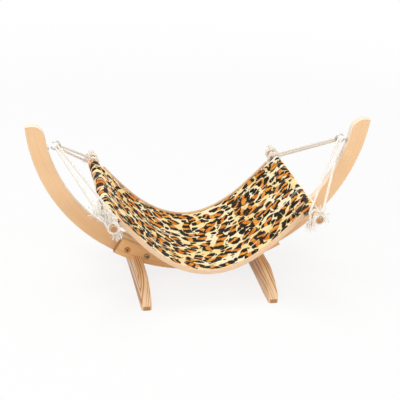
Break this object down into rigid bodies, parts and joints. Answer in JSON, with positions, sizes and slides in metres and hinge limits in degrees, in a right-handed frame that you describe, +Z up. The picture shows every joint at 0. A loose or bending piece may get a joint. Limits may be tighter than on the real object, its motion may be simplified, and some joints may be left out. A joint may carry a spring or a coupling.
{
  "type": "cat hammock",
  "caption": "Floor-standing cat hammock: a printed cloth sling on spreader bars, hung by cotton cords from a curved wooden bow on arched cross feet.",
  "frame": {"origin": "on the floor under the middle of the bow", "axes": "+X along the bow, +Y across it to the back, +Z up"},
  "size_m": [0.7284, 0.3919, 0.3429],
  "materials": {
    "pine": "satin",
    "bronze_fastener": "satin",
    "zinc_steel": "satin",
    "cotton_cord": "matte",
    "printed_cloth": "matte",
    "cream_cloth": "matte"
  },
  "bodies": {
    "frame": {"bow_left": "pine", "bow_right": "pine", "cheek_front": "pine", "cheek_back": "pine", "foot_left": "pine", "foot_right": "pine", "cheek_bolts": "bronze_fastener", "sleeve_nuts": "bronze_fastener", "foot_screws": "zinc_steel", "hook_left": "zinc_steel", "hook_right": "zinc_steel"},
    "hammock": {"bar_left": "pine", "bar_right": "pine", "cord_left_upper": "cotton_cord", "cord_left_lower": "cotton_cord", "cord_right_upper": "cotton_cord", "cord_right_lower": "cotton_cord", "sling_cloth": "printed_cloth", "sling_lining": "cream_cloth", "binding_front": "cream_cloth", "binding_back": "cream_cloth"}
  },
  "joints": [
    {"name": "hammock_swing", "type": "hinge", "parent": "frame", "child": "hammock", "pos_m": [0, 0, 0.29216], "axis": [1, 0, 0], "range_deg": [-10, 10]}
  ]
}
